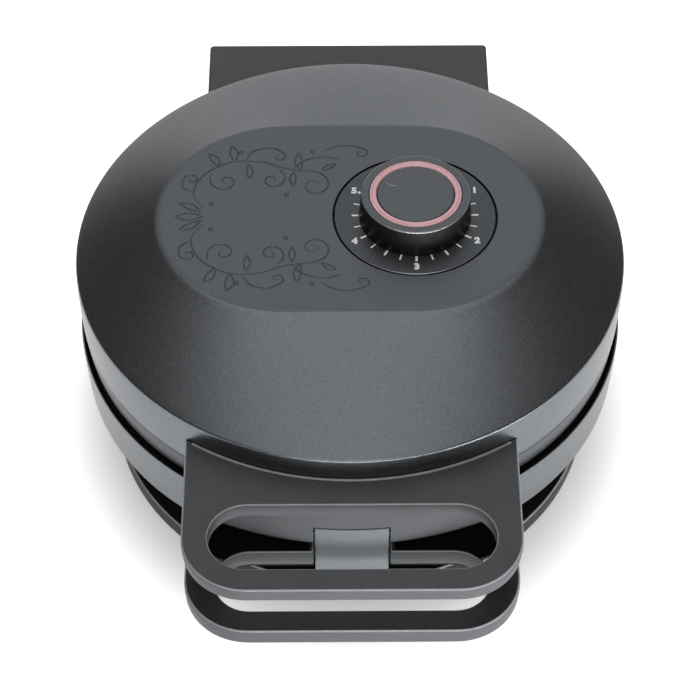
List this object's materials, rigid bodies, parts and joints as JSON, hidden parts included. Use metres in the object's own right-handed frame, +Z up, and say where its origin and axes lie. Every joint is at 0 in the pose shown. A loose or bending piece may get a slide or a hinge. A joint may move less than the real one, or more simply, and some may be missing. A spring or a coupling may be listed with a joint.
{
  "type": "krumkake maker",
  "caption": "Round electric krumkake iron with a hinged lid, bar handles, a front latch, a heat dial and a cord store under the bowl.",
  "frame": {"origin": "on the table, under the middle of the object's bounding box", "axes": "+Z up; the bar handles point along -Y and the hinge is at +Y; +X is the side with the heat dial"},
  "size_m": [0.2512, 0.3352, 0.1478],
  "materials": {
    "metallic_plastic": "satin, with fine metal flake",
    "matte_plastic": "matte, fine grain",
    "black_plastic": "matte",
    "latch_plastic": "satin",
    "coated_casting": "cast, non-stick coating",
    "plain_steel": "plated",
    "rubber": "matte",
    "ceramic": "plain",
    "board": "solder mask",
    "light_guide": "translucent"
  },
  "bodies": {
    "base": {"base_plate": "matte_plastic", "foot_1": "rubber", "foot_2": "rubber", "foot_3": "rubber", "foot_4": "rubber", "cord_drum": "black_plastic", "cord_gland": "rubber", "lower_housing": "metallic_plastic", "lower_handle": "matte_plastic", "hinge_bracket": "matte_plastic", "terminal_block": "ceramic", "thermal_fuse": "plain_steel", "lower_plate": "coated_casting", "lower_element": "plain_steel", "lower_heat_shield": "plain_steel", "lower_plate_screw_1": "plain_steel", "lower_plate_screw_2": "plain_steel", "lower_plate_screw_3": "plain_steel", "base_screw_1": "plain_steel", "base_screw_2": "plain_steel", "base_screw_3": "plain_steel", "drum_screw_1": "plain_steel", "drum_screw_2": "plain_steel", "drum_screw_3": "plain_steel", "lower_handle_screw_1": "plain_steel", "lower_handle_screw_2": "plain_steel", "hinge_screw_1": "plain_steel", "hinge_screw_2": "plain_steel"},
    "lid": {"lid_cover": "metallic_plastic", "lid_frame": "metallic_plastic", "upper_handle": "matte_plastic", "hinge_cover": "matte_plastic", "hinge_pin_1": "plain_steel", "hinge_pin_2": "plain_steel", "dial_plate": "matte_plastic", "thermostat_bracket": "plain_steel", "thermostat": "black_plastic", "lamp_board": "board", "upper_plate": "coated_casting", "upper_element": "plain_steel", "upper_heat_shield": "plain_steel", "upper_plate_screw_1": "plain_steel", "upper_plate_screw_2": "plain_steel", "upper_plate_screw_3": "plain_steel", "lid_screw_1": "plain_steel", "lid_screw_2": "plain_steel", "lid_screw_3": "plain_steel", "lid_screw_4": "plain_steel", "upper_handle_screw_1": "plain_steel", "upper_handle_screw_2": "plain_steel", "hinge_cover_screw_1": "plain_steel", "hinge_cover_screw_2": "plain_steel", "latch_pin": "plain_steel"},
    "latch": {"latch": "latch_plastic"},
    "knob": {"knob": "black_plastic", "knob_light_ring": "light_guide", "knob_cap": "matte_plastic", "dial_spindle": "plain_steel"}
  },
  "joints": [
    {"name": "lid_hinge", "type": "hinge", "parent": "base", "child": "lid", "pos_m": [0, 0.1536, 0.07], "axis": [-1, 0, 0], "range_deg": [0, 95]},
    {"name": "latch_pivot", "type": "hinge", "parent": "lid", "child": "latch", "pos_m": [0, -0.1213, 0.0792], "axis": [1, 0, 0], "range_deg": [0, 12]},
    {"name": "knob_turn", "type": "hinge", "parent": "lid", "child": "knob", "pos_m": [0.0293, 0.0156, 0.1343], "axis": [0, 0, 1], "range_deg": [0, 240]}
  ]
}
